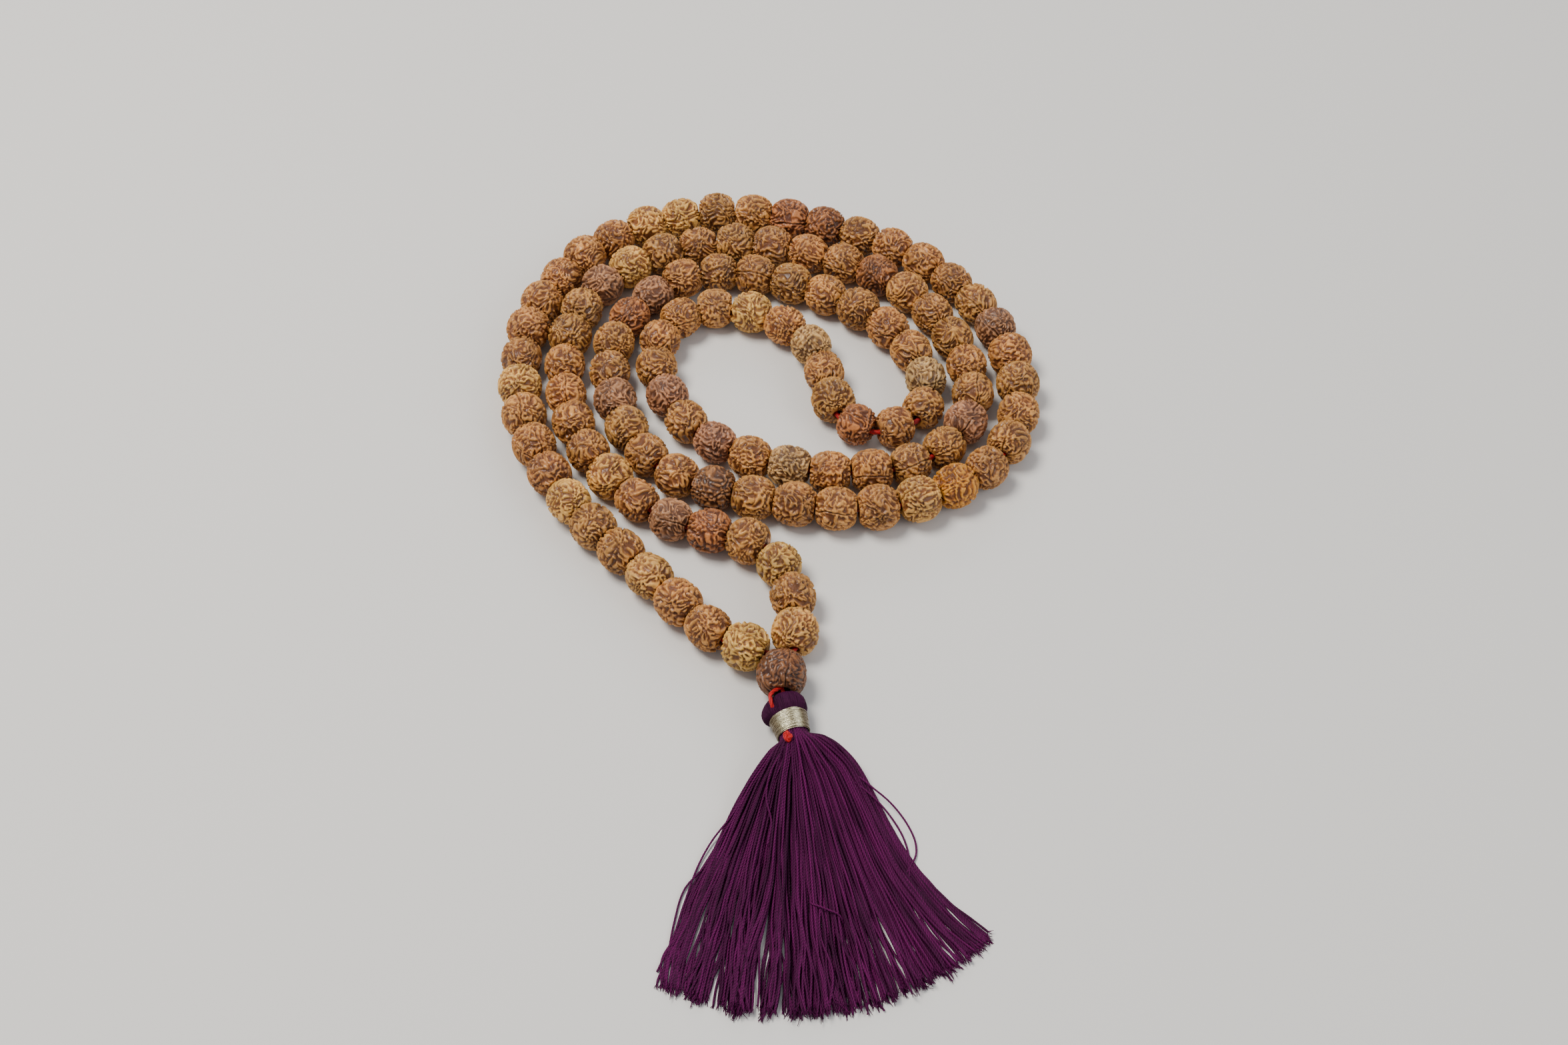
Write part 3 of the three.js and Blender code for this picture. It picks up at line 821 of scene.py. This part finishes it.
def add_head():
    """Threads folded over the cord, which divides them into a large right lobe and a small left one."""
    rng = np.random.default_rng(41)
    count, rings = HEAD_THREADS, 52
    down = np.linspace(0.01, 1, rings)
    stations, shares = zip(*HEAD_OUTLINE)
    wide = np.interp(down, stations, shares)
    shape = Shape()
    for shrink, shift in ((1.0, 0.0), (0.95, 0.5)):
        around = 2 * math.pi * (np.arange(count) + shift + rng.uniform(-0.2, 0.2, count)) / count
        sides = np.cos(around)[:, None]
        left = smooth(0.2, 1.0, -sides)
        past_cleft = (around - HEAD_CLEFT + math.pi) % (2 * math.pi) - math.pi
        cleft = np.exp(-((past_cleft / 0.2) ** 2))[:, None]
        press = 1 - 0.2 * cleft * np.sin(math.pi * down)
        radius = wide * shrink * press * (1 + 0.006 * rng.normal(size=(count, 1)))
        twist = 0.01 * np.sin(6 * down + rng.uniform(0, 6, (count, 1)))
        places = on_tassel(
            down * HEAD_LENGTH + 0.45 * left * np.sin(math.pi * down) + 0.3 * left * (1 - down),
            (sides + twist) * radius * HEAD_HALF_WIDTH * (1 + 0.13 * left * np.sin(math.pi * down)),
            np.sin(around)[:, None] * radius * HEAD_HALF_HEIGHT,
        )
        places[..., 2] = np.maximum(places[..., 2], HEAD_THREAD_RADIUS)
        tints = rng.uniform(0.05, 0.3, count)
        add_tubes(shape, places, HEAD_THREAD_RADIUS, 6, tints)
    made = shape.piece("head_threads", THREAD, "tint")
    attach(made, "tassel")
    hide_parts("tassel_head")


def add_binding():
    """Metallic thread wound round the neck: one even layer, and looser turns that cross it."""
    rng = np.random.default_rng(43)
    shape = Shape()
    points = 64
    top, slope = BINDING_RADII[0], BINDING_RADII[1] - BINDING_RADII[0]

    def wind(share, angle, out, radius):
        width = top + slope * share + out
        path = on_tassel(
            BINDING_START + share * BINDING_LENGTH,
            width * np.cos(angle),
            np.maximum(width * np.sin(angle), radius - HEAD_TOP[2]),
        )
        # Painted highlight and shade: the tint is bright in the highlight bands, dark at the sides, and
        # broken into random glints along each turn.
        degrees = np.degrees(angle) % 360
        lit = sum(np.exp(-(((degrees - at) / spread) ** 2)) for at, spread in BINDING_HIGHLIGHT_BANDS)
        add_tubes(shape, [path], radius, 6, 1.0, 2, 0.3, 0.5)
        glint_dash = rng.uniform(0, 1, len(angle)) ** 0.8
        shape.values[-1] *= np.repeat((0.08 + 1.4 * np.clip(lit, 0, 1)) * (0.42 + 0.85 * glint_dash), 6)

    turns = np.linspace(0, BINDING_TURNS, BINDING_TURNS * points + 1)
    ragged = 0.008 * np.sin(turns * 5.1) + 0.006 * np.sin(turns * 13.7)
    share = np.clip(0.03 + 0.94 * turns / BINDING_TURNS + ragged, 0, 1)
    wind(share, 2 * math.pi * turns, 0.0, BINDING_THREAD_RADIUS)
    for _ in range(BINDING_LOOSE_TURNS):
        angle = np.linspace(0, 2 * math.pi, points + 1) + rng.uniform(0, 6)
        wander = 0.016 * np.sin(angle * rng.integers(2, 5) + rng.uniform(0, 6))
        share = rng.uniform(0.01, 0.99) + rng.normal(0, 0.03) * np.sin(angle) + wander
        thin = BINDING_THREAD_RADIUS * rng.uniform(0.7, 1.0)
        wind(np.clip(share, -0.02, 1.02), angle, rng.uniform(0.06, 0.2), thin)
    made = shape.piece("binding_turns", GOLD, "tint")
    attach(made, "tassel")
    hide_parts("tassel_binding")


def skirt_place(across, down):
    """Middle line of a thread, from -1 at the left flank to 1 at the right, and 0 to 1 along it."""
    flare = np.where(
        across > 0,
        SKIRT_RIGHT_FLARE * np.abs(1 - down) ** SKIRT_RIGHT_FLARE_POWER,
        -SKIRT_LEFT_FLARE * (1 - down),
    )
    swing = np.where(across > 0, SKIRT_RIGHT_SWING * down * (down - 0.85), 0)
    angle = SKIRT_TILT + SKIRT_HALF_FAN * across + (flare + swing) * across**2
    reach = SKIRT_LENGTH * np.maximum(down, 0) * (1 - SKIRT_FLANK_SHORTER * across**2)
    back = SKIRT_LENGTH * np.minimum(down, 0)
    beside = across * (SKIRT_NECK_HALF_WIDTH + SKIRT_SWELL * smooth(0, 0.05, down))
    x = SKIRT_START[0] + beside * ACROSS[0] + reach * np.sin(angle) + back * AXIS[0]
    y = SKIRT_START[1] + beside * ACROSS[1] - reach * np.cos(angle) + back * AXIS[1]
    return x, y


def skirt_height(down):
    fall = SKIRT_NECK_HEIGHT - SKIRT_END_HEIGHT
    return SKIRT_END_HEIGHT + fall * np.clip(1 - down, 0, 1) ** SKIRT_SETTLE_POWER


def skirt_paths(rng):
    """Paths of the skirt's threads, with where each ends across the fan."""
    count = SKIRT_THREADS
    order = np.arange(count) + 0.5
    disc = np.sqrt(order / count)
    swirl = order * math.pi * (3 - math.sqrt(5))
    side, level = disc * np.cos(swirl), disc * np.sin(swirl)
    stack = (level / np.sqrt(1 - side**2) + 1) / 2

    # Each thread leaves the round neck where it is, and soon takes an even place across the fan.
    rank = np.argsort(np.argsort(side + rng.normal(0, 0.06, count)))
    even = 2 * (rank + 0.5) / count - 1
    layer = rng.permutation(count) % SKIRT_LAYERS / (SKIRT_LAYERS - 1)
    clumps = np.sort(rng.uniform(-1, 1, SKIRT_CLUMPS))
    clump = np.abs(even[:, None] - clumps).argmin(1)
    hold = (0.08 + 0.42 * (1 - smooth(-0.6, 0.2, even))) * (0.05 + 0.95 * layer**2)
    end = even + hold * (clumps[clump] - even)

    down = np.linspace(-0.05, 1, SKIRT_RINGS)[None, :]
    inside = np.clip(down, 0, 1)
    spread = smooth(0.0, 0.2, down)
    gather = smooth(0.2, 0.8, down)
    across = side[:, None] * (1 - spread) + spread * (even[:, None] * (1 - gather) + end[:, None] * gather)
    sway = rng.normal(size=(SKIRT_CLUMPS, 3))[clump]
    own = rng.normal(size=(count, 4))
    grow = smooth(0.05, 0.9, down)
    bend = sum(
        sway[:, [k]] * np.sin(down * (3.1 + 2.3 * k) + 2 * sway[:, [(k + 1) % 3]]) for k in range(3)
    )
    jitter = sum(
        own[:, [k]] * np.sin(down * (6.0 + 5.0 * k) + 3 * own[:, [(k + 1) % 4]]) for k in range(4)
    )
    loose = 1 - 0.55 * smooth(-0.1, 0.5, end)[:, None]
    stray = own[:, [0]] * (down - 0.25) * 0.022
    lying = 0.25 + 0.75 * layer[:, None]
    across = across + grow * (0.014 * bend * loose * lying + 0.011 * jitter * loose + stray)
    length = 1 + 0.012 * (1 - end**2) + rng.normal(0, 0.01, count)
    reach = np.where(down > 0, down * length[:, None], down)
    x, y = skirt_place(np.clip(across, -1.04, 1.03), reach)

    # The round neck swells into a bell, and settles into a low pile, a few threads deep.
    settle = smooth(0.0, 0.14, down)
    dome = 1 - (0.12 + 0.6 * smooth(0.04, 0.45, down)) * np.abs(across) ** 3.5
    place = stack[:, None] * (1 - gather) + layer[:, None] * gather
    pile = THREAD_RADIUS + place * np.maximum(skirt_height(inside) * dome - 2 * THREAD_RADIUS, 0.15)
    z = (SKIRT_NECK_MIDDLE + SKIRT_NECK_HALF_HEIGHT * level[:, None]) * (1 - settle) + pile * settle
    z = z + 0.03 * grow * jitter
    return np.stack([x, y, np.maximum(z, THREAD_RADIUS)], axis=-1), end


def stray_paths():
    """Threads that have left the fan: a loop on the right flank, wisps on the left, and one across."""
    routes = [
        [(12.6, -46.6, 2.4), (15.2, -48.2, 2.5), (17.4, -50.0, 2.2), (20.1, -52.2, 1.4), (22.4, -55.2, 0.7),
         (23.7, -58.4, 0.4), (23.7, -60.7, 0.35), (22.6, -62.9, 0.6), (21.2, -65.6, 0.6)],
        [(12.2, -47.6, 2.2), (15.0, -49.4, 2.3), (17.2, -51.3, 2.0), (19.5, -53.7, 1.2), (21.6, -57.1, 0.6),
         (22.5, -60.1, 0.4), (22.6, -62.8, 0.6), (22.4, -66.0, 0.6)],
        [(-1.4, -49.0, 2.6), (-4.9, -54.6, 1.6), (-7.8, -58.4, 0.7), (-9.8, -62.4, 0.4),
         (-11.4, -67.5, 0.35), (-13.0, -73.5, 0.3), (-15.4, -79.6, 0.3)],
        [(-3.0, -52.0, 2.2), (-6.6, -58.6, 1.0), (-9.0, -62.8, 0.5), (-11.8, -66.4, 0.35),
         (-13.2, -72.0, 0.3), (-14.0, -78.0, 0.3)],
        [(7.2, -68.2, 0.6), (7.5, -69.4, 1.8), (8.5, -70.0, 2.25), (10.0, -70.6, 2.2), (11.6, -71.3, 1.9),
         (12.4, -72.3, 0.6)],
        [(3.4, -44.2, 5.2), (1.2, -48.6, 4.4), (0.6, -52.4, 3.6), (1.4, -56.4, 3.0), (0.8, -60.0, 2.5)],
        [(15.2, -80.5, 0.8), (16.6, -83.6, 0.6), (18.0, -85.6, 0.3)],
    ]
    return [along(curve_through(route, 24), 120) for route in routes]


def fray(rng, shape, ends, headings):
    """Loose fibres where the threads were cut."""
    count = FRAY_FIBRES
    share = np.linspace(0, 1, FRAY_RINGS)
    for end, heading in zip(ends, headings):
        lengths = rng.uniform(0.4, 0.95, count)
        lean = rng.normal(0, 0.3, (count, 3))
        curl = rng.normal(0, 0.12, (count, 3))
        steps = share[None, :, None] * lengths[:, None, None]
        paths = end - heading * 0.25 + steps * (heading + lean[:, None])
        paths = paths + (share[None, :, None] ** 2) * curl[:, None]
        paths[..., 2] = np.maximum(paths[..., 2], 0.06)
        add_tubes(shape, paths, FRAY_RADIUS * (1 - 0.5 * share), 4, rng.uniform(0.4, 0.9, count))


def add_skirt():
    """Two-ply threads that leave the binding and fan out on the surface."""
    rng = np.random.default_rng(47)
    paths, end = skirt_paths(rng)
    tints = rng.uniform(0.15, 1.0, len(paths))
    rolls = rng.uniform(0, 6, len(paths))
    share = np.linspace(0, 1, SKIRT_RINGS)
    pace = rng.uniform(30, 90, (len(paths), 1))
    slubs = 0.06 * np.sin(share * pace + rng.uniform(0, 6, (len(paths), 1)))
    radii = THREAD_RADIUS * (1 + slubs) * (1 - 0.2 * smooth(0.985, 1.0, share))
    order = np.argsort(end)
    for part, chosen in enumerate(np.array_split(order, SKIRT_PIECES)):
        shape = Shape()
        add_tubes(
            shape, paths[chosen], radii[chosen], THREAD_SIDES, tints[chosen],
            roll=rolls[chosen], fine_lay=THREAD_LAY_LENGTH,
        )
        tips = paths[chosen, -1]
        fray(rng, shape, tips, unit(tips - paths[chosen, -4]))
        finish_skirt(shape, f"skirt_threads_{part + 1}", part == 0)
    shape = Shape()
    for stray in stray_paths():
        add_tubes(shape, [stray], THREAD_RADIUS * 0.85, THREAD_SIDES, 0.8, fine_lay=THREAD_LAY_LENGTH)
    strays = shape.piece("skirt_stray_threads", THREAD, "tint")
    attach(strays, "skirt")


def finish_skirt(shape, name, stands_for_skirt):
    made = shape.piece(name, THREAD, "tint")
    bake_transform(made)
    if stands_for_skirt:
        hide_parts("tassel_skirt")


# ---- Floor and light ----


def add_floor():
    bpy.ops.mesh.primitive_plane_add(size=6, location=(0, 0, 0))
    floor = bpy.context.object
    floor.name = "floor"
    floor.data.materials.append(floor_material())


def add_area_light(name, place, size, power, colour):
    light = bpy.data.lights.new(name, "AREA")
    light.shape = "RECTANGLE"
    light.size, light.size_y = size
    light.energy = power
    light.color = colour
    lamp = bpy.data.objects.new(name, light)
    lamp.location = place
    aim = -np.array(place, float)
    lamp.rotation_euler = Vector(aim).to_track_quat("-Z", "Y").to_euler()
    bpy.context.scene.collection.objects.link(lamp)


def add_lights():
    world = bpy.data.worlds.new("studio")
    world.use_nodes = True
    background = world.node_tree.nodes["Background"]
    background.inputs["Color"].default_value = (0.86, 0.9, 1.0, 1.0)
    background.inputs["Strength"].default_value = 0.42
    bpy.context.scene.world = world
    add_area_light("key", (-0.28, 0.08, 0.64), (0.32, 0.24), 5.4, (1.0, 0.965, 0.92))
    add_area_light("fill", (0.62, -0.25, 0.45), (0.5, 0.5), 2.2, (0.94, 0.97, 1.0))
    add_area_light("rim", (0.1, 0.7, 0.35), (0.5, 0.2), 1.2, (1.0, 0.98, 0.95))


add_camera()
add_cord()
add_beads()
add_guru()
add_tie()
add_knot()
add_head()
add_binding()
add_skirt()
add_floor()
add_lights()
